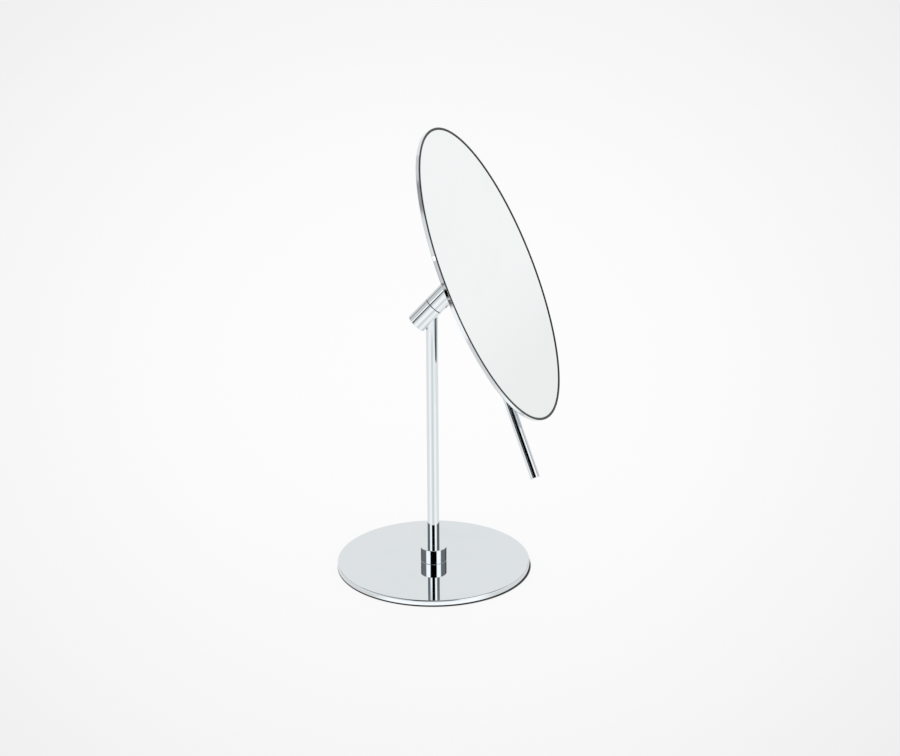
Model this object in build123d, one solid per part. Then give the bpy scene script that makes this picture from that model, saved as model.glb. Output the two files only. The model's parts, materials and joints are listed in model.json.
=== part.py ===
from build123d import *
import os
from math import cos, radians, sin, tan

# Free-standing round table mirror on an oblique friction swivel.
# Millimetres. Origin on the resting face under the base, +Z up, the mirror stands to -Y.

# Base plate and the pad under it
base_diameter = 130.0
base_thickness = 3.5
base_edge_round = 0.8
base_under_edge = 0.25
pad_thickness = 1.0
pad_stand = 0.5
pad_margin = 4.0
pad_fit = 0.1

# Countersunk screw that holds the stem on the plate
base_screw_diameter = 4.0
base_screw_head = 8.0
base_screw_reach = 12.0
base_screw_sink = 0.1
base_screw_key = 2.5
base_screw_key_depth = 1.6

# Stem tube, its threaded insert and the collar round its foot
stem_diameter = 8.0
stem_wall = 1.0
insert_length = 16.0
insert_fit = 0.02
collar_diameter = 17.5
collar_height = 10.0
collar_round = 0.3
collar_fit = 0.03

# Grub screws, one pattern for all three
grub_diameter = 3.0
grub_key = 1.5
grub_key_depth = 1.2
grub_sink = 0.4
grub_edge = 0.2
grub_tip_gap = 0.05

# Swivel: height where its axis crosses the stem, its slope, how far the head is turned, and the housing
axis_height = 181.1
axis_elevation = 47.0
head_turn = -25.4
head_diameter = 13.5
head_edge = 0.2
saddle_margin = 1.85
saddle_gap = 0.02
seam_station = 1.95
web_thickness = 5.0
pocket_diameter = 9.2
cap_thickness = 2.5
cap_fit = 0.02

# Swivel axle and the stack that clamps it
axle_diameter = 4.0
axle_run = 0.03
axle_grip = 12.0
axle_tail = 0.8
seam_washer_thickness = 0.4
seam_washer_inset = 0.5
web_washer_thickness = 0.5
thrust_washer_thickness = 0.6
disc_spring_thickness = 0.4
disc_spring_rise = 0.25
stack_side_gap = 0.4
nut_across_flats = 7.0
nut_height = 3.2
nut_crown = 1.0
nut_crown_inset = 0.55
cap_clear = 0.5

# Mirror: where the swivel axis meets the glass, its tilt with the head unturned, the dish and the glass
axis_to_glass = 50.67
mirror_elevation = 23.26
centre_drop = 13.29
mirror_diameter = 202.6
dish_floor = 0.5
rim_wall = 0.8
rim_sink = 0.1
rim_round = 0.1
dish_back_round = 0.5
tape_thickness = 0.2
tape_margin = 3.0
glass_thickness = 1.8
glass_edge = 0.25
seal_width = 0.7
seal_stand = 0.5
seal_inset = 0.1
seal_round = 0.3
seal_fit = 0.02

# Flange that joins the swivel to the back of the dish
flange_diameter = 50.0
flange_thickness = 3.0
flange_round = 1.0
stub_diameter = 7.0
stub_length = 8.5
stub_fit = 0.03
flange_screw_offset = 3.0

# Handle rod
handle_diameter = 6.3
handle_station = 31.37
handle_lean = 22.87
handle_reach = 140.46
handle_round = 0.4
handle_seat_depth = 2.7
handle_thread_diameter = 4.0
handle_thread_length = 4.0

# Shared clearances
thread_gap = 0.05
shank_gap = 0.2
end_gap = 0.3
cut_over = 1.0

# Radii and heights that follow
base_radius = base_diameter / 2
pad_radius = base_radius - pad_margin
plate_bottom = pad_stand
plate_top = plate_bottom + base_thickness
base_screw_radius = base_screw_diameter / 2
base_screw_head_radius = base_screw_head / 2
stem_radius = stem_diameter / 2
stem_bore = stem_radius - stem_wall
collar_radius = collar_diameter / 2
grub_radius = grub_diameter / 2
head_radius = head_diameter / 2
pocket_radius = pocket_diameter / 2
axle_radius = axle_diameter / 2
stack_radius = pocket_radius - stack_side_gap
mirror_radius = mirror_diameter / 2
handle_radius = handle_diameter / 2
handle_thread_radius = handle_thread_diameter / 2

# Stations along the swivel axis, counted from where it crosses the stem's axis
slope = radians(axis_elevation)
web_station = seam_station - web_thickness
web_washer_end = web_station - web_washer_thickness
thrust_end = web_washer_end - thrust_washer_thickness
spring_height = disc_spring_thickness + disc_spring_rise
spring_end = thrust_end - 2 * spring_height
nut_end = spring_end - nut_height - nut_crown
axle_end = nut_end - axle_tail
saddle_reach = (stem_radius + head_radius * sin(slope)) / cos(slope) + saddle_margin
stack_reach = cap_thickness + cap_clear - axle_end
housing_end = -max(saddle_reach, stack_reach)
head_start = seam_station + seam_washer_thickness
axle_tip = head_start + axle_grip

# Depths behind the front of the glass
rim_depth = dish_floor + tape_thickness + glass_thickness
tape_front = -glass_thickness
floor_front = -glass_thickness - tape_thickness
flange_back = -rim_depth - flange_thickness
glass_radius = mirror_radius - rim_wall - seal_width

# Frames of the swivel axis, the mirror and the handle
tilt = radians(mirror_elevation)
lean = radians(handle_lean)
across = (1, 0, 0)
axis_direction = Vector(0, -cos(slope), sin(slope))
mirror_normal = Vector(0, -cos(tilt), sin(tilt))
mirror_down = Vector(0, -sin(tilt), -cos(tilt))
handle_direction = Vector(0, -sin(lean), -cos(lean))
crossing = Vector(0, 0, plate_top + axis_height)
glass_point = crossing + axis_direction * axis_to_glass
mirror_centre = glass_point + mirror_down * centre_drop
handle_origin = crossing + axis_direction * handle_station
axis_place = Plane(crossing, x_dir=across, z_dir=axis_direction).location
turn_place = axis_place * Rot(0, 0, head_turn) * axis_place.inverse()
mirror_place = turn_place * Plane(mirror_centre, x_dir=across, z_dir=mirror_normal).location
handle_place = turn_place * Plane(handle_origin, x_dir=across, z_dir=handle_direction).location

# The axis leans from the mirror's normal by this angle, which sets the flange's place
axis_to_normal = slope - tilt
flange_station = axis_to_glass + flange_back / cos(axis_to_normal)
flange_rise = centre_drop + flange_back * tan(axis_to_normal)
stub_root = flange_station + head_radius * tan(axis_to_normal)
stub_tip = flange_station - stub_length

# The handle's angle to the axis sets how far its shoulder sits from the axis
handle_to_axis = radians(90 - handle_lean + axis_elevation)
handle_shoulder = head_radius / sin(handle_to_axis) - handle_seat_depth
handle_thread_end = handle_shoulder - handle_thread_length


def disc(radius, low, high):
    upward = (Align.CENTER, Align.CENTER, Align.MIN)
    return Pos(0, 0, low) * Cylinder(radius, high - low, align=upward)


def ring(outer, inner, low, high):
    return disc(outer, low, high) - disc(inner, low - cut_over, high + cut_over)


def taper(low_radius, high_radius, low, high):
    upward = (Align.CENTER, Align.CENTER, Align.MIN)
    return Pos(0, 0, low) * Cone(low_radius, high_radius, high - low, align=upward)


def hexagon(across_flats, low, high):
    outline = RegularPolygon(across_flats / 2, 6, major_radius=False)
    return Pos(0, 0, low) * extrude(outline, high - low)


def top_edges(shape):
    return shape.edges().group_by(Axis.Z)[-1]


def bottom_edges(shape):
    return shape.edges().group_by(Axis.Z)[0]


# A grub screw stands along +Z with its tip at `low` and its keyed end at `high`
def grub_screw(low, high):
    body = disc(grub_radius, low, high)
    body = chamfer(body.edges(), grub_edge)
    return body - hexagon(grub_key, high - grub_key_depth, high + cut_over)


def grub_hole(low, high):
    return disc(grub_radius + thread_gap, low, high)


# A plane whose +Z leaves the swivel axis on its underside, for the hidden grub screws
def underside_at(station):
    origin = crossing + axis_direction * station
    below = Vector(0, -sin(slope), -cos(slope))
    return turn_place * Plane(origin, x_dir=across, z_dir=below).location


# Base
def make_base_plate():
    plate = disc(base_radius, plate_bottom, plate_top)
    plate = fillet(top_edges(plate), base_edge_round)
    plate = chamfer(bottom_edges(plate), base_under_edge)
    plate -= disc(pad_radius + pad_fit, plate_bottom - cut_over, pad_thickness)
    plate -= disc(base_screw_radius + shank_gap, pad_thickness, plate_top + cut_over)
    seat_radius = base_screw_head_radius + shank_gap
    plate -= taper(seat_radius, 0, pad_thickness, pad_thickness + seat_radius)
    return plate


def make_base_pad():
    return disc(pad_radius, 0, pad_thickness)


def make_base_screw():
    head_low = pad_thickness + base_screw_sink
    cone = taper(base_screw_head_radius, 0, head_low, head_low + base_screw_head_radius)
    shank = disc(base_screw_radius, head_low, plate_top + base_screw_reach)
    key = hexagon(base_screw_key, head_low - cut_over, head_low + base_screw_key_depth)
    return cone + shank - key


# Stem
def make_stem():
    tube = ring(stem_radius, stem_bore, plate_top, crossing.Z)
    saddle = disc(head_radius + saddle_gap, 2 * housing_end, 2 * head_diameter)
    return tube - axis_place * saddle


def make_stem_insert():
    bore = base_screw_radius + thread_gap
    return ring(stem_bore - insert_fit, bore, plate_top, plate_top + insert_length)


def collar_screw_place():
    middle = Vector(0, 0, plate_top + collar_height / 2)
    return Plane(middle, x_dir=across, z_dir=(0, 1, 0)).location


def make_stem_collar():
    collar = disc(collar_radius, plate_top, plate_top + collar_height)
    collar = fillet(top_edges(collar), collar_round)
    collar -= disc(stem_radius + collar_fit, plate_top - cut_over, plate_top + collar_height + cut_over)
    return collar - collar_screw_place() * grub_hole(0, collar_radius + cut_over)


def make_collar_grub_screw():
    return collar_screw_place() * grub_screw(stem_radius + grub_tip_gap, collar_radius - grub_sink)


# Fixed half of the swivel
def make_swivel_housing():
    housing = disc(head_radius, housing_end, seam_station)
    housing = chamfer(top_edges(housing) + bottom_edges(housing), head_edge)
    housing -= disc(pocket_radius, housing_end - cut_over, web_station)
    housing -= disc(axle_radius + axle_run, web_station - cut_over, seam_station + cut_over)
    return axis_place * housing


def make_housing_cap():
    cap = disc(pocket_radius - cap_fit, housing_end, housing_end + cap_thickness)
    cap = chamfer(bottom_edges(cap), head_edge)
    return axis_place * cap


def make_seam_washer():
    outer = head_radius - seam_washer_inset
    return axis_place * ring(outer, axle_radius + axle_run, seam_station, head_start)


def make_web_washer():
    return axis_place * ring(stack_radius, axle_radius + axle_run, web_washer_end, web_station)


# Axle and the stack that turns with the mirror
def make_swivel_axle():
    axle = disc(axle_radius, axle_end, axle_tip)
    axle = chamfer(top_edges(axle) + bottom_edges(axle), head_edge)
    return axis_place * axle


def make_thrust_washer():
    return axis_place * ring(stack_radius, axle_radius + axle_run, thrust_end, web_washer_end)


# Two coned washers, rim to rim, between the thrust washer and the nut
def make_disc_springs():
    bore = axle_radius + axle_run
    middle = thrust_end - spring_height
    springs = []
    for side in (1, -1):
        rim_z = middle
        bore_z = middle + side * disc_spring_rise
        thick = side * disc_spring_thickness
        section = Polyline(
            (bore, 0, bore_z),
            (stack_radius, 0, rim_z),
            (stack_radius, 0, rim_z + thick),
            (bore, 0, bore_z + thick),
            close=True,
        )
        springs.append(axis_place * revolve(make_face(section), Axis.Z))
    return Compound(children=springs)


def make_swivel_nut():
    nut_face = spring_end - nut_height
    nut = hexagon(nut_across_flats, nut_face, spring_end)
    nut += disc(nut_across_flats / 2 - nut_crown_inset, nut_end, nut_face)
    nut -= disc(axle_radius + thread_gap, nut_end - cut_over, spring_end + cut_over)
    return axis_place * nut


# Moving half of the swivel
def axle_screw_station():
    return head_start + axle_grip / 2


def flange_screw_station():
    return stub_tip + flange_screw_offset


def make_swivel_head():
    head = disc(head_radius, head_start, axis_to_glass + head_diameter)
    head = chamfer(bottom_edges(head), head_edge)
    head -= disc(axle_radius + thread_gap, head_start - cut_over, axle_tip + end_gap)
    head -= disc(stub_diameter / 2 + stub_fit, stub_tip - end_gap, axis_to_glass + head_diameter)
    head = axis_place * head
    beyond = disc(mirror_radius, flange_back, axis_to_glass + mirror_radius)
    head -= mirror_place * beyond
    head -= underside_at(axle_screw_station()) * grub_hole(0, head_diameter)
    head -= underside_at(flange_screw_station()) * grub_hole(0, head_diameter)
    seat = disc(handle_radius + thread_gap, handle_shoulder, head_diameter)
    tapped = disc(handle_thread_radius + thread_gap, handle_thread_end - end_gap, head_diameter)
    return head - handle_place * seat - handle_place * tapped


def make_axle_grub_screw():
    screw = grub_screw(axle_radius + grub_tip_gap, head_radius - grub_sink)
    return underside_at(axle_screw_station()) * screw


def make_flange_grub_screw():
    screw = grub_screw(stub_diameter / 2 + grub_tip_gap, head_radius - grub_sink)
    return underside_at(flange_screw_station()) * screw


def make_handle_rod():
    rod = disc(handle_radius, handle_shoulder, handle_reach)
    rod = fillet(top_edges(rod), handle_round)
    rod += disc(handle_thread_radius, handle_thread_end, handle_shoulder)
    return handle_place * rod


# Mirror
def make_mirror_flange():
    flange = disc(flange_diameter / 2, flange_back, -rim_depth)
    flange = fillet(bottom_edges(flange), flange_round)
    flange = mirror_place * (Pos(0, flange_rise, 0) * flange)
    stub = axis_place * disc(stub_diameter / 2, stub_tip, stub_root)
    front = mirror_place * disc(mirror_radius, -rim_depth, head_diameter)
    return flange + (stub - front)


def make_mirror_dish():
    dish = disc(mirror_radius, -rim_depth, -rim_sink)
    dish = fillet(bottom_edges(dish), dish_back_round)
    dish = chamfer(top_edges(dish), rim_round)
    dish -= disc(mirror_radius - rim_wall, floor_front, cut_over)
    return mirror_place * dish


def make_glass_tape():
    return mirror_place * disc(glass_radius - tape_margin, floor_front, tape_front)


def make_mirror_glass():
    glass = disc(glass_radius, tape_front, 0)
    return mirror_place * chamfer(top_edges(glass), glass_edge)


# The bead's root fills the gap round the glass, and its head covers the front of the rim
def make_glass_seal():
    inner = glass_radius + seal_fit
    head = ring(mirror_radius - seal_inset, inner, -rim_sink, seal_stand)
    head = fillet(top_edges(head), seal_round)
    root = ring(mirror_radius - rim_wall - seal_fit, inner, floor_front, -rim_sink)
    return mirror_place * (head + root)


nodes = {
    "base_plate": make_base_plate,
    "base_pad": make_base_pad,
    "base_screw": make_base_screw,
    "stem": make_stem,
    "stem_insert": make_stem_insert,
    "stem_collar": make_stem_collar,
    "collar_grub_screw": make_collar_grub_screw,
    "swivel_housing": make_swivel_housing,
    "housing_cap": make_housing_cap,
    "seam_washer": make_seam_washer,
    "web_washer": make_web_washer,
    "swivel_axle": make_swivel_axle,
    "thrust_washer": make_thrust_washer,
    "disc_springs": make_disc_springs,
    "swivel_nut": make_swivel_nut,
    "swivel_head": make_swivel_head,
    "axle_grub_screw": make_axle_grub_screw,
    "flange_grub_screw": make_flange_grub_screw,
    "handle_rod": make_handle_rod,
    "mirror_flange": make_mirror_flange,
    "mirror_dish": make_mirror_dish,
    "glass_tape": make_glass_tape,
    "mirror_glass": make_mirror_glass,
    "glass_seal": make_glass_seal,
}

os.makedirs("parts", exist_ok=True)
for name, make in nodes.items():
    export_step(make(), f"parts/{name}.step")
    print("wrote", name)
print("swivel axis through", crossing, "along", axis_direction)
print("centre of the glass", mirror_place.position)
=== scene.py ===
import json
import math

import bpy
import numpy as np
from mathutils import Matrix


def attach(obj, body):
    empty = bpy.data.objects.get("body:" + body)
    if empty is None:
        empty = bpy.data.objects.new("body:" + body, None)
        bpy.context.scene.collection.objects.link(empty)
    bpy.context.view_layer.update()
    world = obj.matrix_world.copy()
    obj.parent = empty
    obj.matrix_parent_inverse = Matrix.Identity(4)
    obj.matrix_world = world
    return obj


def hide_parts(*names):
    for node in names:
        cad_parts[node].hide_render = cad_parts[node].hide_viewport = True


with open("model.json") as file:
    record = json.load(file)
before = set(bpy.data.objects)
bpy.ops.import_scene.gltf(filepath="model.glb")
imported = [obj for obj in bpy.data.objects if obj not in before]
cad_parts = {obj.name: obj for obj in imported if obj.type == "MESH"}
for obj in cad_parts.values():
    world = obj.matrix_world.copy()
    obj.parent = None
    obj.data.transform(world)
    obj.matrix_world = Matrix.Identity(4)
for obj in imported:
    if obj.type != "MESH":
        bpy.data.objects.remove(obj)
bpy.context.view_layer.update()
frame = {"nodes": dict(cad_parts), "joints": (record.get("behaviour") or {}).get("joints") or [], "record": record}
mm = 0.001
degrees = 180 / math.pi  # in one radian
across = np.array([1.0, 0.0, 0.0])
upward = np.array([0.0, 0.0, 1.0])


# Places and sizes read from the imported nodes

# the node's points, each of them once
def nodePoints(node):
    mesh = frame["nodes"][node].data
    flat = np.empty(len(mesh.vertices) * 3, np.float32)
    mesh.vertices.foreach_get("co", flat)
    return np.unique(flat.reshape(-1, 3).round(7), axis=0).astype(float)


# the direction in which the node's points spread most, or least for a thin disc, turned towards a hint
def nodeAxis(node, hint, thin=False):
    points = nodePoints(node)
    spread = np.linalg.svd(points - points.mean(0), full_matrices=False)[2]
    axis = spread[2] if thin else spread[0]
    return axis if axis @ hint > 0 else -axis


# two directions square to an axis: the first as near to X as it can be, the second a quarter turn on
def sides(axis):
    first = across - axis * (axis @ across)
    first = first / np.linalg.norm(first)
    return first, np.cross(axis, first)


# middle of the node's box, taken square to an axis, slid along it to its high end
def nodeOrigin(node, axis):
    points = nodePoints(node)
    origin = axis * (points @ axis).max()
    for side in sides(axis):
        origin = origin + side * ((points @ side).min() + (points @ side).max()) / 2
    return origin


# lowest and highest station along an axis, and the largest radius, in millimetres
def reach(node, origin, axis):
    offset = nodePoints(node) - origin
    station = offset @ axis
    radius = np.linalg.norm(offset - np.outer(station, axis), axis=1)
    return station.min() / mm, station.max() / mm, radius.max() / mm


# the hole that a grub screw sits in: its station and angle round an axis, and how deep its tip lies
def screwHole(node, origin, axis):
    offset = nodePoints(node) - origin
    low, high, _ = reach(node, origin, axis)
    middle = (offset.max(0) + offset.min(0)) / 2
    first, second = sides(axis)
    angle = math.atan2(middle @ second, middle @ first) % (2 * math.pi)
    bore = first * math.cos(angle) + second * math.sin(angle)
    return {"station": (low + high) / 2, "angle": angle, "floor": (offset @ bore).min() / mm}


joint = frame["joints"][0]
swivelOrigin = np.array(joint["pos_m"], float)
swivelAxis = np.array(joint["axis"], float)
mirrorAxis = nodeAxis("mirror_glass", swivelAxis, thin=True)
mirrorOrigin = nodeOrigin("mirror_glass", mirrorAxis)
handleAxis = nodeAxis("handle_rod", -upward)
handleOrigin = nodeOrigin("handle_rod", handleAxis)
standOrigin = np.zeros(3)
print("frame: glass faces", mirrorAxis.round(4), "handle runs", handleAxis.round(4))


# Surfaces: a piece is a list of patches, and a patch is a grid of points with its own normals

# faces join neighbouring grid points, and only the cells marked in keep get one
class Patch:
    def __init__(self, points, normals, keep=None):
        self.points, self.normals = np.broadcast_arrays(points, normals)
        rows, columns = self.points.shape[:2]
        turn = np.linspace(0, 1, columns)
        step = np.linalg.norm(np.diff(self.points[:, 0], axis=0), axis=1)
        along = np.concatenate([[0], np.cumsum(step)])
        self.uv = np.stack(np.broadcast_arrays(turn[None, :], along[:, None]), axis=-1)
        cells = np.arange(rows * columns).reshape(rows, columns)
        corners = [cells[:-1, :-1], cells[:-1, 1:], cells[1:, 1:], cells[1:, :-1]]
        self.faces = np.stack(corners, axis=-1)[keep if keep is not None else ...].reshape(-1, 4)


# welds the patches into one mesh; a quad with two corners at a pole becomes a triangle
def makePiece(name, patches, node, body, material):
    starts = np.cumsum([0] + [p.points.shape[0] * p.points.shape[1] for p in patches])
    points = np.concatenate([p.points.reshape(-1, 3) for p in patches])
    normals = np.concatenate([p.normals.reshape(-1, 3) for p in patches])
    uv = np.concatenate([p.uv.reshape(-1, 2) for p in patches])
    corners = np.concatenate([p.faces + start for p, start in zip(patches, starts)])
    weldStep = 1e-7
    cells = (points / weldStep).round()
    _, first, same = np.unique(cells, axis=0, return_index=True, return_inverse=True)
    same = same.reshape(-1)[corners]
    poleLow, poleHigh = same[:, 0] == same[:, 1], same[:, 2] == same[:, 3]
    whole = ~(poleLow | poleHigh)
    chosen = [
        (same[whole], corners[whole]),
        (same[poleLow][:, [0, 2, 3]], corners[poleLow][:, [0, 2, 3]]),
        (same[poleHigh][:, :3], corners[poleHigh][:, :3]),
    ]
    faces = [face for part, _ in chosen for face in part.tolist()]
    loops = np.concatenate([part.reshape(-1) for _, part in chosen])
    mesh = bpy.data.meshes.new(name)
    mesh.from_pydata(points[first].tolist(), [], faces)
    mesh.polygons.foreach_set("use_smooth", np.ones(len(faces), bool))
    mesh.uv_layers.new(name="turnAndLength").uv.foreach_set("vector", uv[loops].astype(np.float32).ravel())
    mesh.normals_split_custom_set(normals[loops].tolist())
    mesh.materials.append(material)
    piece = bpy.data.objects.new(name, mesh)
    bpy.context.scene.collection.objects.link(piece)
    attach(piece, body)
    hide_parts(node)
    print("piece:", name, len(mesh.vertices), "points", len(faces), "faces")


# corners are (radius, height, rounding); each rounding swaps a corner for an arc that touches both sides,
# and every span comes back with its outward normals, which lie to the right of the way the outline runs
def roundedOutline(corners, arcSteps=8):
    corners = np.array(corners, float)
    places, rounding = corners[:, :2], corners[:, 2]
    ways = np.diff(places, axis=0)
    ways /= np.linalg.norm(ways, axis=1)[:, None]
    outs = np.stack([ways[:, 1], -ways[:, 0]], axis=1)
    spans, start = [], places[0]
    for k in range(1, len(places) - 1):
        before, after = ways[k - 1], ways[k]
        turn = math.atan2(before[0] * after[1] - before[1] * after[0], before @ after)
        cut = rounding[k] * abs(math.tan(turn / 2))
        end = places[k] - before * cut
        spans.append((np.array([start, end]), outs[[k - 1, k - 1]]))
        start = places[k] + after * cut
        if rounding[k] > 0:
            bend = math.copysign(rounding[k], turn)
            centre = end - outs[k - 1] * bend
            angle = np.linspace(0, turn, arcSteps + 1)
            out = np.cos(angle)[:, None] * outs[k - 1] + np.sin(angle)[:, None] * before
            spans.append((centre + out * bend, out))
    spans.append((np.array([start, places[-1]]), outs[[-1, -1]]))
    return spans


# the outward direction at an angle round an axis: cosine times its first side plus sine times its second
def ringAt(axis, angle):
    first, second = sides(axis)
    angle = np.asarray(angle)[..., None]
    return np.cos(angle) * first + np.sin(angle) * second


# every outline point is carried round the axis: axis point plus radius times the turning ring plus height
def lathe(corners, origin, axis, segments, start=0.0):
    ring = ringAt(axis, np.linspace(0, 2 * np.pi, segments + 1) + start)[None]
    patches = []
    for places, outs in roundedOutline(corners):
        radius, height = places[:, 0, None, None] * mm, places[:, 1, None, None] * mm
        points = origin + radius * ring + height * axis
        normals = outs[:, 0, None, None] * ring + outs[:, 1, None, None] * axis
        patches.append(Patch(points, normals))
    return patches


# a round side with radial holes: the cells in a window round each hole are left out, and a strip runs from
# the window's edge in to the hole's rim, the rim being where the hole's cylinder cuts the side
def piercedSide(origin, axis, radius, angles, stations, holes):
    def onSide(angle, station):
        ring = ringAt(axis, angle)
        return origin + ring * radius * mm + axis * (station * mm)[..., None], ring

    stations = np.broadcast_to(stations, (stations.shape[0], len(angles)))
    keep = np.ones((len(stations) - 1, len(angles) - 1), bool)
    patches = []
    for hole in holes:
        half = hole["window"] / 2
        columns = np.flatnonzero(abs(angles - hole["angle"]) * radius < half)
        rows = np.flatnonzero(abs(stations[:, columns[0]] - hole["station"]) < half)
        low, high, left, right = rows[0], rows[-1], columns[0], columns[-1]
        keep[low:high, left:right] = False
        loop = [(low, c) for c in range(left, right)] + [(r, right) for r in range(low, high)]
        loop += [(high, c) for c in range(right, left, -1)] + [(r, left) for r in range(high, low - 1, -1)]
        loop = np.array(loop)
        edgeAngle, edgeStation = angles[loop[:, 1]], stations[loop[:, 0], loop[:, 1]]
        way = np.arctan2((edgeAngle - hole["angle"]) * radius, edgeStation - hole["station"])
        rimAngle = hole["angle"] + np.arcsin(hole["radius"] * np.sin(way) / radius)
        rimStation = hole["station"] + hole["radius"] * np.cos(way)
        inward = np.linspace(0, 1, hole["rows"])[:, None]
        stripAngle = edgeAngle * (1 - inward) + rimAngle * inward
        stripStation = edgeStation * (1 - inward) + rimStation * inward
        patches.append(Patch(*onSide(stripAngle, stripStation)))
        rim, out = onSide(rimAngle, rimStation)
        bore = ringAt(axis, hole["angle"])
        middle = origin + axis * hole["station"] * mm + bore * hole["floor"] * mm
        foot = rim - np.outer((rim - middle) @ bore, bore)
        facing = (middle - foot) / (hole["radius"] * mm)
        patches.append(Patch(np.stack([rim, foot]), facing[None]))
        patches.append(Patch(np.stack([foot, np.broadcast_to(middle, foot.shape)]), bore))
    patches.append(Patch(*onSide(np.broadcast_to(angles, stations.shape), stations), keep))
    return patches


# Shader maths: a wrapped socket, so that a formula on values is written as one

class Sock:
    def __init__(self, graph, socket):
        self.graph, self.socket = graph, socket

    def __add__(self, other):
        return self.graph.maths("ADD", self, other)

    def __radd__(self, other):
        return self.graph.maths("ADD", other, self)

    def __sub__(self, other):
        return self.graph.maths("SUBTRACT", self, other)

    def __rsub__(self, other):
        return self.graph.maths("SUBTRACT", other, self)

    def __mul__(self, other):
        return self.graph.maths("MULTIPLY", self, other)

    def __rmul__(self, other):
        return self.graph.maths("MULTIPLY", other, self)

    def __truediv__(self, other):
        return self.graph.maths("DIVIDE", self, other)

    def __rtruediv__(self, other):
        return self.graph.maths("DIVIDE", other, self)


class Graph:
    def __init__(self, tree):
        self.tree = tree
        tree.nodes.clear()

    # one way to any node: its type, its settings, then its inputs by name or number
    def node(self, kind, settings=None, inputs=None, output=0):
        made = self.tree.nodes.new("ShaderNode" + kind)
        for key, value in (settings or {}).items():
            setattr(made, key, value)
        for key, value in (inputs or {}).items():
            if isinstance(value, Sock):
                self.tree.links.new(value.socket, made.inputs[key])
            else:
                made.inputs[key].default_value = value
        return Sock(self, made.outputs[output]) if len(made.outputs) else None

    def maths(self, operation, *values):
        return self.node("Math", {"operation": operation}, dict(enumerate(values)))

    # nothing below low, one above high, and a smooth step between
    def clamped(self, value, low, high):
        return self.node("MapRange", {"interpolation_type": "SMOOTHSTEP"},
                         {"Value": value, "From Min": low, "From Max": high})

    # sockets 0, 6 and 7 of a colour mix are its factor and its two colours
    def mixed(self, factor, first, second):
        return self.node("Mix", {"data_type": "RGBA"}, {0: factor, 6: first, 7: second}, output=2)

    def bump(self, strength, depth, height):
        return self.node("Bump", None, {"Strength": strength, "Distance": depth, "Height": height})

    def place(self, kind="Object"):
        return self.node("TexCoord", output=kind)

    def noise(self, scale, detail, stretch=(1.0, 1.0, 1.0)):
        at = self.node("Mapping", None, {"Vector": self.place(), "Scale": stretch})
        return self.node("TexNoise", None, {"Vector": at, "Scale": scale, "Detail": detail})


def newMaterial(name):
    material = bpy.data.materials.new(name)
    material.use_nodes = True
    return material, Graph(material.node_tree)


def surface(graph, inputs):
    shader = graph.node("BsdfPrincipled", None, inputs)
    graph.node("OutputMaterial", None, {"Surface": shader})


chromeLook = {
    "tint": (0.70, 0.735, 0.76, 1.0),
    "deepTint": (0.68, 0.72, 0.75, 1.0),
    "roughness": 0.018,
    "haze": 0.03,
    "hazeRange": (0.45, 0.8),
    "cloudScale": 35.0,
    "wipeScale": 900.0,
    "wipeStretch": (1.0, 1.0, 0.15),
    "ripple": 0.02,
    "rippleDepth": 0.00002,
}


# polished plate: a faint haze in clouds, and a very fine ripple from wiping
def chromeMaterial():
    material, graph = newMaterial("polishedChrome")
    cloud = graph.noise(chromeLook["cloudScale"], detail=4.0)
    haze = graph.clamped(cloud, *chromeLook["hazeRange"])
    wipe = graph.noise(chromeLook["wipeScale"], detail=2.0, stretch=chromeLook["wipeStretch"])
    ripple = graph.bump(chromeLook["ripple"], chromeLook["rippleDepth"], wipe)
    surface(graph, {
        "Base Color": graph.mixed(haze, chromeLook["tint"], chromeLook["deepTint"]),
        "Metallic": 1.0,
        "Roughness": chromeLook["roughness"] + haze * chromeLook["haze"],
        "Normal": ripple,
    })
    return material


silverLook = {
    "tint": (0.86, 0.89, 0.885, 1.0),
    "smearTint": (0.80, 0.86, 0.84, 1.0),
    "roughness": 0.004,
    "smear": 0.02,
    "smearScale": 9.0,
    "smearStretch": (1.0, 1.0, 2.5),
    "smearRange": (0.5, 0.85),
    "dust": 0.03,
    "dustScale": 2200.0,
    "dustRange": (0.74, 0.8),
    "coat": 0.3,
    "coatRoughness": 0.01,
}


# silvered glass: faint smears and specks of dust dull its gloss
def silverMaterial():
    material, graph = newMaterial("silveredGlass")
    streaks = graph.noise(silverLook["smearScale"], detail=5.0, stretch=silverLook["smearStretch"])
    smear = graph.clamped(streaks, *silverLook["smearRange"])
    dust = graph.clamped(graph.noise(silverLook["dustScale"], detail=1.0), *silverLook["dustRange"])
    surface(graph, {
        "Base Color": graph.mixed(smear, silverLook["tint"], silverLook["smearTint"]),
        "Metallic": 1.0,
        "Roughness": silverLook["roughness"] + smear * silverLook["smear"] + dust * silverLook["dust"],
        "Coat Weight": silverLook["coat"],
        "Coat Roughness": silverLook["coatRoughness"],
    })
    return material


rubberLook = {"bump": 0.35, "grainDepth": 0.00015, "speckRange": (0.3, 0.75), "spread": 0.2}


# rubber, foam and plastic: fine raised specks between two tones
def rubberMaterial(name, dark, light, grain, roughness):
    material, graph = newMaterial(name)
    speck = graph.noise(grain, detail=3.0)
    surface(graph, {
        "Base Color": graph.mixed(graph.clamped(speck, *rubberLook["speckRange"]), dark, light),
        "Roughness": roughness + speck * rubberLook["spread"],
        "Normal": graph.bump(rubberLook["bump"], rubberLook["grainDepth"], speck),
    })
    return material


metalLook = {"bump": 0.15, "lineDepth": 0.00003, "lineScale": 1500.0, "cloudScale": 120.0, "spread": 0.15}


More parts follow.
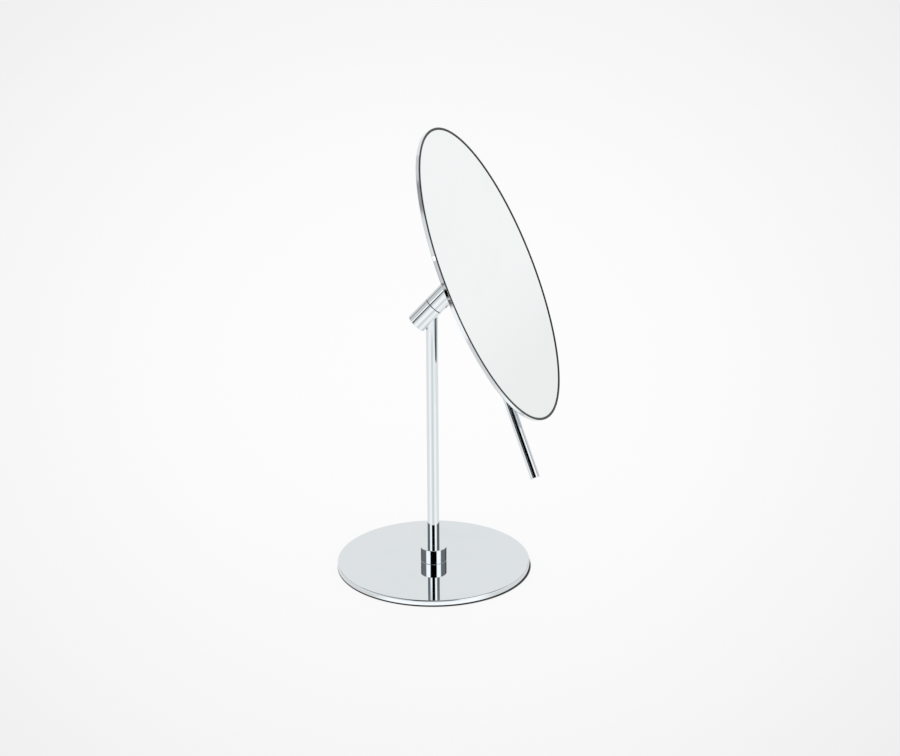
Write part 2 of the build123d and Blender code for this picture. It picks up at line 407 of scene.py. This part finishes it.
# bare metal: fine tool lines over clouds of two tints
def metalMaterial(name, tint, deepTint, roughness, stretch):
    material, graph = newMaterial(name)
    lines = graph.noise(metalLook["lineScale"], detail=3.0, stretch=stretch)
    cloud = graph.noise(metalLook["cloudScale"], detail=3.0)
    surface(graph, {
        "Base Color": graph.mixed(cloud, tint, deepTint),
        "Metallic": 1.0,
        "Roughness": roughness + lines * metalLook["spread"],
        "Normal": graph.bump(metalLook["bump"], metalLook["lineDepth"], lines),
    })
    return material


chrome = chromeMaterial()
silver = silverMaterial()
sealRubber = rubberMaterial("sealRubber", (0.012, 0.012, 0.013, 1), (0.03, 0.03, 0.032, 1),
                            grain=900.0, roughness=0.45)
padRubber = rubberMaterial("padRubber", (0.03, 0.03, 0.03, 1), (0.07, 0.07, 0.07, 1),
                           grain=700.0, roughness=0.7)
frictionPlastic = rubberMaterial("frictionPlastic", (0.02, 0.02, 0.02, 1), (0.05, 0.05, 0.05, 1),
                                 grain=1200.0, roughness=0.4)
tapeFoam = rubberMaterial("tapeFoam", (0.62, 0.62, 0.6, 1), (0.8, 0.8, 0.78, 1),
                          grain=1500.0, roughness=0.75)
zincSteel = metalMaterial("zincSteel", (0.55, 0.56, 0.57, 1), (0.42, 0.43, 0.45, 1),
                          roughness=0.22, stretch=(1.0, 1.0, 0.1))
turnedBrass = metalMaterial("turnedBrass", (0.75, 0.58, 0.28, 1), (0.6, 0.44, 0.2, 1),
                            roughness=0.2, stretch=(0.1, 0.1, 1.0))
slotMaterials = {
    "chrome": chrome, "mirror_glass": silver, "seal_rubber": sealRubber, "pad_rubber": padRubber,
    "tape_foam": tapeFoam, "steel": zincSteel, "brass": turnedBrass, "washer_plastic": frictionPlastic,
}
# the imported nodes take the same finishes
for row in frame["record"]["subparts"]:
    kept = frame["nodes"][row["node"]].data
    kept.materials.clear()
    kept.materials.append(slotMaterials[row["material_slot"]])
print("materials:", len(slotMaterials), "finishes")


# Base: a plate with a softly broken edge, and a pad in the recess under it

basePlate = {"topRound": 0.8, "underRound": 0.25, "recessRound": 0.05, "recessGap": 0.1, "inset": 0.02,
             "segments": 360}
basePad = {"edgeRound": 0.2, "segments": 240}

padLow, padHigh, padRadius = reach("base_pad", standOrigin, upward)
plateLow, plateHigh, plateRadius = reach("base_plate", standOrigin, upward)
plateRadius -= basePlate["inset"]
recess = padRadius + basePlate["recessGap"]
makePiece("polishedBase", lathe([
    (0, padHigh, 0),
    (recess, padHigh, basePlate["recessRound"]),
    (recess, plateLow, basePlate["recessRound"]),
    (plateRadius, plateLow, basePlate["underRound"]),
    (plateRadius, plateHigh, basePlate["topRound"]),
    (0, plateHigh, 0),
], standOrigin, upward, basePlate["segments"]), "base_plate", "stand", chrome)
makePiece("restingPad", lathe([
    (0, padLow, 0),
    (padRadius, padLow, basePad["edgeRound"]),
    (padRadius, padHigh, basePad["edgeRound"]),
    (0, padHigh, 0),
], standOrigin, upward, basePad["segments"]), "base_pad", "stand", padRubber)


# Stem: a tube whose top end is cut to the round of the swivel housing, and the collar round its foot

stem = {"segments": 128, "saddleRows": 10}
collar = {"topRound": 0.3, "footRound": 0.25, "boreGap": 0.03, "segments": 192, "rows": 40}
grubHole = {"radius": 1.55, "window": 3.9, "rows": 7}  # tapped for the 3 mm grub screws

stemLow, _, stemRadius = reach("stem", standOrigin, upward)
housingLow, housingHigh, housingRadius = reach("swivel_housing", swivelOrigin, swivelAxis)


# height of the housing's underside over a point: the lower root of the slanted cylinder's equation
def saddleHeight(x, y):
    lean, rise = swivelAxis[1], swivelAxis[2]
    sag = np.sqrt((housingRadius * mm) ** 2 - x ** 2)
    return swivelOrigin[2] + (rise * y) / lean - sag / abs(lean)


# the wall runs straight up from the foot to the saddle height, and the saddle closes it in shrinking rings
def stemPatches():
    ring = ringAt(upward, np.linspace(0, 2 * np.pi, stem["segments"] + 1))
    wall = ring * stemRadius * mm
    foot = wall + upward * stemLow * mm
    top = wall + upward * saddleHeight(wall[:, 0], wall[:, 1])[:, None]
    shrink = np.linspace(1, 0, stem["saddleRows"])[:, None, None]
    seat = wall[None] * shrink
    seat = seat + upward * saddleHeight(seat[..., 0], seat[..., 1])[..., None]
    fromAxis = seat - swivelOrigin
    fromAxis = fromAxis - (fromAxis @ swivelAxis)[..., None] * swivelAxis
    facing = -fromAxis / np.linalg.norm(fromAxis, axis=-1, keepdims=True)
    under = np.stack([np.broadcast_to(upward * stemLow * mm, foot.shape), foot])
    return [Patch(under, -upward), Patch(np.stack([foot, top]), ring[None]), Patch(seat, facing)]


# a ring turned about the stem, whose outer side is pierced for the grub screw
def collarPatches():
    low, high, radius = reach("stem_collar", standOrigin, upward)
    bore = stemRadius + collar["boreGap"]
    topRound, footRound = collar["topRound"], collar["footRound"]
    hole = {**grubHole, **screwHole("collar_grub_screw", standOrigin, upward)}
    angles = np.linspace(-np.pi, np.pi, collar["segments"] + 1) + hole["angle"]
    stations = np.linspace(low + footRound, high - topRound, collar["rows"])[:, None]
    side = piercedSide(standOrigin, upward, radius, angles, stations, [hole])
    turned = lathe([
        (bore, high, 0),
        (bore, low, 0),
        (radius, low, footRound),
        (radius, high, topRound),
        (bore, high, 0),
    ], standOrigin, upward, collar["segments"], start=angles[0])
    turned.pop(3)  # the plain side, after bore, foot and foot rounding, gives way to the pierced one
    return turned + side


makePiece("stemTube", stemPatches(), "stem", "stand", chrome)
makePiece("footCollar", collarPatches(), "stem_collar", "stand", chrome)


# Swivel: a fixed housing, a dark washer in the seam, and the moving half that ends on the slanted flange

housing = {"edge": 0.2, "fineEdge": 0.05, "capSeat": 4.6, "capDepth": 2.5, "segments": 160}
swivelHead = {"edge": 0.2, "segments": 192, "rows": 110, "blendRows": 8, "blendLength": 1.2}

seamLow, seamHigh, seamRadius = reach("seam_washer", swivelOrigin, swivelAxis)
makePiece("fixedHalf", lathe([
    (0, housingLow + housing["capDepth"], 0),
    (housing["capSeat"], housingLow + housing["capDepth"], housing["fineEdge"]),
    (housing["capSeat"], housingLow, housing["fineEdge"]),
    (housingRadius, housingLow, housing["edge"]),
    (housingRadius, housingHigh, housing["edge"]),
    (0, housingHigh, 0),
], swivelOrigin, swivelAxis, housing["segments"]), "swivel_housing", "stand", chrome)
capLow, capHigh, capRadius = reach("housing_cap", swivelOrigin, swivelAxis)
makePiece("endCap", lathe([
    (0, capLow, 0),
    (capRadius, capLow, housing["edge"]),
    (capRadius, capHigh, housing["fineEdge"]),
    (0, capHigh, 0),
], swivelOrigin, swivelAxis, housing["segments"]), "housing_cap", "stand", chrome)
makePiece("seamWasher", lathe([
    (0, seamLow, 0),
    (seamRadius, seamLow, housing["fineEdge"]),
    (seamRadius, seamHigh, housing["fineEdge"]),
    (0, seamHigh, 0),
], swivelOrigin, swivelAxis, housing["segments"]), "seam_washer", "stand",
          frictionPlastic)

# the flange behind the mirror: its back is where the moving half ends, and its stub sits in that half
flange = {"backRound": 1.0, "frontRound": 0.05, "thickness": 3.0, "radius": 25.0, "segments": 240,
          "stubRadius": 3.5, "stubSegments": 96}
flangeOrigin = nodeOrigin("mirror_flange", mirrorAxis)
flangeBack = flangeOrigin - mirrorAxis * flange["thickness"] * mm


# the moving half's side is a round one, and each of its lines ends where it meets the flange's back plane
def headPatches():
    low, _, radius = reach("swivel_head", swivelOrigin, swivelAxis)
    edge = swivelHead["edge"]
    screws = ("axle_grub_screw", "flange_grub_screw")
    holes = [{**grubHole, **screwHole(screw, swivelOrigin, swivelAxis)} for screw in screws]
    angles = np.linspace(-np.pi, np.pi, swivelHead["segments"] + 1) + holes[0]["angle"]
    ring = ringAt(swivelAxis, angles)
    gap = (flangeBack - swivelOrigin) @ mirrorAxis - (ring @ mirrorAxis) * radius * mm
    end = gap / (swivelAxis @ mirrorAxis) / mm
    straight = end.min() - swivelHead["blendLength"]
    plain = np.linspace(low + edge, straight, swivelHead["rows"])[:, None] + 0 * end
    blend = np.linspace(0, 1, swivelHead["blendRows"] + 1)[1:, None]
    stations = np.concatenate([plain, straight + blend * (end - straight)])
    side = piercedSide(swivelOrigin, swivelAxis, radius, angles, stations, holes)
    rim = swivelOrigin + ring * radius * mm + swivelAxis * (end * mm)[:, None]
    centre = np.broadcast_to(rim[:-1].mean(0), rim.shape)
    turned = lathe([
        (0, low, 0),
        (radius, low, edge),
        (radius, low + 2 * edge, 0),
    ], swivelOrigin, swivelAxis, swivelHead["segments"], start=angles[0])
    turned.pop()  # the plain side gives way to the pierced one
    return turned + side + [Patch(np.stack([rim, centre]), mirrorAxis)]


makePiece("movingHalf", headPatches(), "swivel_head", "mirror_head", chrome)


# Handle: a plain rod with a softly rounded end and a thinner threaded one

handle = {"endRound": 0.4, "threadRadius": 2.0, "threadLength": 4.0, "threadRound": 0.1, "segments": 96}

rodLow, rodHigh, rodRadius = reach("handle_rod", handleOrigin, handleAxis)
shoulder = rodLow + handle["threadLength"]
makePiece("handleRod", lathe([
    (0, rodLow, 0),
    (handle["threadRadius"], rodLow, handle["threadRound"]),
    (handle["threadRadius"], shoulder, handle["threadRound"]),
    (rodRadius, shoulder, handle["threadRound"]),
    (rodRadius, rodHigh, handle["endRound"]),
    (0, rodHigh, 0),
], handleOrigin, handleAxis, handle["segments"]), "handle_rod", "mirror_head", chrome)


# Mirror: flange, shallow dish, silvered glass and the dark bead between glass and rim

mirror = {"rimWall": 0.8, "rimRound": 0.1, "backRound": 0.5, "cornerRound": 0.05, "floor": 0.5,
          "inset": 0.03, "segments": 720}
glass = {"bevel": 0.25, "backRound": 0.05, "bevelRound": 0.03}
bead = {"round": 0.3, "fit": 0.02, "footRound": 0.05}

dishLow, dishHigh, dishRadius = reach("mirror_dish", mirrorOrigin, mirrorAxis)
dishRadius -= mirror["inset"]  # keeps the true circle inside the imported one's box
makePiece("rimmedDish", lathe([
    (0, dishLow, 0),
    (dishRadius, dishLow, mirror["backRound"]),
    (dishRadius, dishHigh, mirror["rimRound"]),
    (dishRadius - mirror["rimWall"], dishHigh, mirror["rimRound"]),
    (dishRadius - mirror["rimWall"], dishLow + mirror["floor"], mirror["cornerRound"]),
    (0, dishLow + mirror["floor"], 0),
], mirrorOrigin, mirrorAxis, mirror["segments"]), "mirror_dish", "mirror_head", chrome)

glassLow, glassHigh, glassRadius = reach("mirror_glass", mirrorOrigin, mirrorAxis)
makePiece("roundGlass", lathe([
    (0, glassLow, 0),
    (glassRadius, glassLow, glass["backRound"]),
    (glassRadius, glassHigh - glass["bevel"], glass["bevelRound"]),
    (glassRadius - glass["bevel"], glassHigh, glass["bevelRound"]),
    (0, glassHigh, 0),
], mirrorOrigin, mirrorAxis, mirror["segments"]), "mirror_glass", "mirror_head", silver)

sealLow, sealHigh, sealRadius = reach("glass_seal", mirrorOrigin, mirrorAxis)
sealRadius -= mirror["inset"]
sealInner = glassRadius + bead["fit"]
sealRoot = dishRadius - mirror["rimWall"] - bead["fit"]
makePiece("edgeBead", lathe([
    (sealInner, dishHigh, 0),
    (sealInner, sealLow, 0),
    (sealRoot, sealLow, 0),
    (sealRoot, dishHigh, 0),
    (sealRadius, dishHigh, bead["footRound"]),
    (sealRadius, sealHigh, bead["round"]),
    (sealInner, sealHigh, bead["round"]),
    (sealInner, dishHigh, 0),
], mirrorOrigin, mirrorAxis, mirror["segments"]), "glass_seal", "mirror_head", sealRubber)

stubLow = reach("mirror_flange", swivelOrigin, swivelAxis)[0]
flangeStation = (flangeOrigin - swivelOrigin) @ mirrorAxis / (swivelAxis @ mirrorAxis) / mm
stubHigh = flangeStation - flange["thickness"] / 2
makePiece("backFlange", lathe([
    (0, -flange["thickness"], 0),
    (flange["radius"], -flange["thickness"], flange["backRound"]),
    (flange["radius"], 0, flange["frontRound"]),
    (0, 0, 0),
], flangeOrigin, mirrorAxis, flange["segments"]) + lathe([
    (0, stubLow, 0),
    (flange["stubRadius"], stubLow, 0),
    (flange["stubRadius"], stubHigh, 0),
    (0, stubHigh, 0),
], swivelOrigin, swivelAxis, flange["stubSegments"]), "mirror_flange", "mirror_head", chrome)


# Studio: a pale paper floor, and a room of bright and dark panels for the polished metal to reflect

# the photo's camera: metres, degrees, pixels of its own frame, and millimetres for the sensor
camera = {"position": (-1.800473, -0.011609, 0.837718), "heading": 0.0, "pitch": 21.3, "roll": 0.3,
          "focalPixels": 2922.24, "frameWidth": 900, "frameHeight": 756, "shiftPixels": 0.2,
          "sensor": 36.0, "nearest": 0.01, "farthest": 50.0}
# the room as the polished metal sees it: azimuths count from the camera, right positive, in degrees
roomPanels = [
    # name, azimuth from and to, elevation from and to, softness, brightness
    ("back wall, right", 128, 200, -90, 18, 1.5, 1.0),
    ("back wall, right, high", 150, 200, 15, 90, 1.5, 1.0),
    ("back wall, left", -200, -150, -90, 90, 1.5, 1.0),
    ("right light, low", 30, 66, 2, 31, 1.5, 1.7),
    ("right light, high", 30, 66, 31, 60, 1.5, 1.15),
    ("right gap", 70, 172, 22.8, 26, 0.6, 0.25),
    ("right gap, far", 125, 172, 22.8, 26, 0.6, 0.12),
    ("left gap", -150, -70, 22.8, 26, 0.6, 0.25),
    ("left gap, far", -150, -125, 22.8, 26, 0.6, 0.12),
    ("left light, high", -82, -58, 33, 44.5, 1.5, 0.95),
    ("left light, middle", -60, -46, 26, 35, 1.2, 1.0),
    ("low light beside the camera", -31, -14, -5, 11.5, 1.5, 1.1),
    ("dark strip, left of the camera", -62, -44.5, 13, 20.7, 0.8, 0.0),
    ("dark strip, low", -68, -39.5, -9, 13.8, 0.8, 0.0),
    ("dark strip, lower", -40, -35, -9, 9.3, 0.8, 0.0),
    ("dark strip, lowest", -36, -30.5, -9, 5.5, 0.8, 0.0),
    ("dark strip, beside the camera", -35, -7, 10.7, 21.5, 0.8, 0.0),
    ("left light", -67, -30, 23.2, 25.6, 0.5, 1.7),
    ("camera gap", -27, 27, 19, 60, 1.5, 0.0),
    ("ceiling", -200, 200, 46, 95, 1.5, 0.04),
    ("ceiling, left", -135, -45, 46, 66, 3.0, 0.5),
    ("ceiling, right", 45, 135, 46, 66, 3.0, 0.5),
]
room = {"walls": 0.8, "diffuse": 1.0}  # the walls in reflections, and the whole room as soft light


def makeCamera():
    heading, pitch, roll = (math.radians(camera[k]) for k in ("heading", "pitch", "roll"))
    level = np.array([math.cos(heading), math.sin(heading), 0.0])
    forward = level * math.cos(pitch) - upward * math.sin(pitch)
    right = np.array([math.sin(heading), -math.cos(heading), 0.0])
    up = np.cross(right, forward)
    turnedRight = right * math.cos(roll) - up * math.sin(roll)
    turnedUp = right * math.sin(roll) + up * math.cos(roll)
    data = bpy.data.cameras.new("photoCamera")
    data.sensor_width = camera["sensor"]
    data.lens = camera["focalPixels"] / camera["frameWidth"] * data.sensor_width
    data.shift_x = camera["shiftPixels"] / camera["frameWidth"]
    data.clip_start, data.clip_end = camera["nearest"], camera["farthest"]
    made = bpy.data.objects.new("photoCamera", data)
    bpy.context.scene.collection.objects.link(made)
    matrix = np.eye(4)
    matrix[:3, :4] = np.stack([turnedRight, turnedUp, -forward, np.array(camera["position"])], axis=1)
    made.matrix_world = Matrix(matrix.tolist())
    bpy.context.scene.camera = made


# the world's brightness: each panel in turn is mixed over the walls inside its soft-edged window
def makeWorld():
    world = bpy.data.worlds.new("brightRoom")
    bpy.context.scene.world = world
    world.use_nodes = True
    graph = Graph(world.node_tree)
    way = graph.place("Generated")
    heading = math.radians(camera["heading"])
    toCamera = (-math.cos(heading), -math.sin(heading), 0.0)
    toRight = (math.sin(heading), -math.cos(heading), 0.0)

    def along(direction):
        inputs = {0: way, 1: direction}
        return graph.node("VectorMath", {"operation": "DOT_PRODUCT"}, inputs, output="Value")

    azimuth = graph.maths("ARCTAN2", along(toRight), along(toCamera)) * degrees
    elevation = graph.maths("ARCSINE", along((0.0, 0.0, 1.0))) * degrees

    def inside(angle, low, high, soft):
        begun = graph.clamped(angle, low - soft, low + soft)
        ended = graph.clamped(angle, high - soft, high + soft)
        return begun * (1 - ended)

    level = room["walls"]
    for _, left, right, low, high, soft, brightness in roomPanels:
        mask = inside(azimuth, left, right, soft) * inside(elevation, low, high, soft)
        level = level + mask * (brightness - level)
    cameraRay = graph.node("LightPath", output="Is Camera Ray")
    glossyRay = graph.node("LightPath", output="Is Glossy Ray")
    strength = glossyRay * level + (1 - glossyRay) * room["diffuse"]
    strength = cameraRay + (1 - cameraRay) * strength
    shader = graph.node("Background", None, {"Color": strength, "Strength": 1.0})
    graph.node("OutputWorld", None, {"Surface": shader})


floor = {"half": 9.0, "paper": (0.93, 0.93, 0.93, 1.0), "fleck": (0.9, 0.9, 0.9, 1.0), "grain": 60.0,
         "glow": 0.9, "middle": 0.99, "corner": 0.86, "fadeLimit": 1.2}
# painted shadow: a dark disc on the paper under the plate's edge, standing in for the shade in the gap there, in
# metres: its reach, its shift to the camera and aside, and its soft edge
paintedPlateShadow = {"reach": 0.0651, "shift": (0.0005, 0.0004), "soft": 0.0007, "shade": (0.08, 0.08, 0.08, 1.0)}
# painted light and shade on the floor, seen only in reflections: its brightness all round, and what is added to it
# or stands in its place
paintedFloorReflection = {"plain": 1.0, "sectors": 0.27, "nearFront": -0.12, "farFront": 0.26, "nearBack": -0.07,
                 "farLeft": 0.1, "plateFront": 1.4, "plateSides": 0.92}
# where these begin and end: degrees round the stem from the camera, and metres
floorRanges = {
    "sectorStart": (15, 40), "sectorEnd": (50, 85), "front": (5, 25), "ahead": (40, 70),
    "behind": (100, 130), "near": (0.42, 0.5), "back": (1.0, 2.4),
    "leftStart": (25, 28), "leftEnd": (62, 70), "leftSide": (0.1, 0.2), "leftFar": (1.0, 1.4),
    "plateTurn": (26, 42), "plateReach": (0.069, 0.074),
}


# glow seen directly: falls off with the square of the distance from the middle of the photo's view
def floorSeen(graph, x, y):
    cameraX, _, cameraZ = camera["position"]
    pitch = math.radians(camera["pitch"])
    halfHigh = camera["frameHeight"] / 2 / camera["focalPixels"]
    halfWide = camera["frameWidth"] / 2 / camera["focalPixels"]
    ahead = x - cameraX
    depth = ahead * math.cos(pitch) + cameraZ * math.sin(pitch)
    high = (ahead * math.sin(pitch) - cameraZ * math.cos(pitch)) / depth / halfHigh
    wide = y / depth / halfWide
    fade = graph.maths("MINIMUM", (wide * wide + high * high) / 2, floor["fadeLimit"])
    return floor["middle"] + fade * (floor["corner"] - floor["middle"])


# painted light and shade seen in reflections: the glow varies with the way round the stem and with the distance
# from it
def floorReflected(graph, x, y, distance):
    azimuth = graph.maths("ABSOLUTE", graph.maths("ARCTAN2", 0 - y, 0 - x)) * degrees

    def ramp(value, name):
        return graph.clamped(value, *floorRanges[name])

    sectors = ramp(azimuth, "sectorStart") * (1 - ramp(azimuth, "sectorEnd"))
    front = 1 - ramp(azimuth, "front")
    ahead = 1 - ramp(azimuth, "ahead")
    behind = ramp(azimuth, "behind")
    near = 1 - ramp(distance, "near")
    nearBack = 1 - ramp(distance, "back")
    level = paintedFloorReflection["plain"] + sectors * near * paintedFloorReflection["sectors"]
    level = level + front * near * paintedFloorReflection["nearFront"]
    level = level + ahead * (1 - near) * paintedFloorReflection["farFront"]
    level = level + behind * (1 - near) * nearBack * paintedFloorReflection["nearBack"]
    farLeft = ramp(azimuth, "leftStart") * (1 - ramp(azimuth, "leftEnd"))
    farLeft = farLeft * ramp(y, "leftSide") * ramp(distance, "leftFar")
    level = level + farLeft * (paintedFloorReflection["farLeft"] - level)
    change = paintedFloorReflection["plateSides"] - paintedFloorReflection["plateFront"]
    byPlate = paintedFloorReflection["plateFront"] + ramp(azimuth, "plateTurn") * change
    beside = 1 - ramp(distance, "plateReach")
    return level + beside * (byPlate - level)


# the paper is shaded as paper for soft light, is painted dark under the plate's edge as its shadow, and glows for
# the camera and in reflections
def makeFloor():
    material, graph = newMaterial("paleFloor")
    x = graph.node("SeparateXYZ", None, {"Vector": graph.place("Object")}, output="X")
    y = graph.node("SeparateXYZ", None, {"Vector": graph.place("Object")}, output="Y")
    distance = graph.maths("SQRT", x * x + y * y)
    grain = graph.noise(floor["grain"], detail=4.0)
    ahead, aside = paintedPlateShadow["shift"]
    fromPaintedShadow = graph.maths("SQRT", (x + ahead) * (x + ahead) + (y + aside) * (y + aside))
    # painted shadow: inside the disc the paper is painted dark and does not glow; clear is one outside it
    clear = graph.clamped(fromPaintedShadow, paintedPlateShadow["reach"], paintedPlateShadow["reach"] + paintedPlateShadow["soft"])
    tone = graph.mixed(clear, paintedPlateShadow["shade"], graph.mixed(grain, floor["paper"], floor["fleck"]))
    paper = graph.node("BsdfDiffuse", None, {"Color": tone})
    cameraRay = graph.node("LightPath", output="Is Camera Ray")
    glossyRay = graph.node("LightPath", output="Is Glossy Ray")
    strength = cameraRay * floorSeen(graph, x, y) + glossyRay * floorReflected(graph, x, y, distance)
    glow = graph.node("Emission", None, {"Color": strength, "Strength": 1.0})
    share = (cameraRay + glossyRay) * clear * floor["glow"]
    both = graph.node("MixShader", None, {0: share, 1: paper, 2: glow})
    graph.node("OutputMaterial", None, {"Surface": both})
    half = floor["half"]
    mesh = bpy.data.meshes.new("paleFloor")
    corners = [(-half, -half, 0), (half, -half, 0), (half, half, 0), (-half, half, 0)]
    mesh.from_pydata(corners, [], [(0, 1, 2, 3)])
    mesh.materials.append(material)
    made = bpy.data.objects.new("paleFloor", mesh)
    bpy.context.scene.collection.objects.link(made)


makeCamera()
makeWorld()
makeFloor()
bpy.context.scene.view_settings.view_transform = "Standard"
print("studio: camera, room and floor")
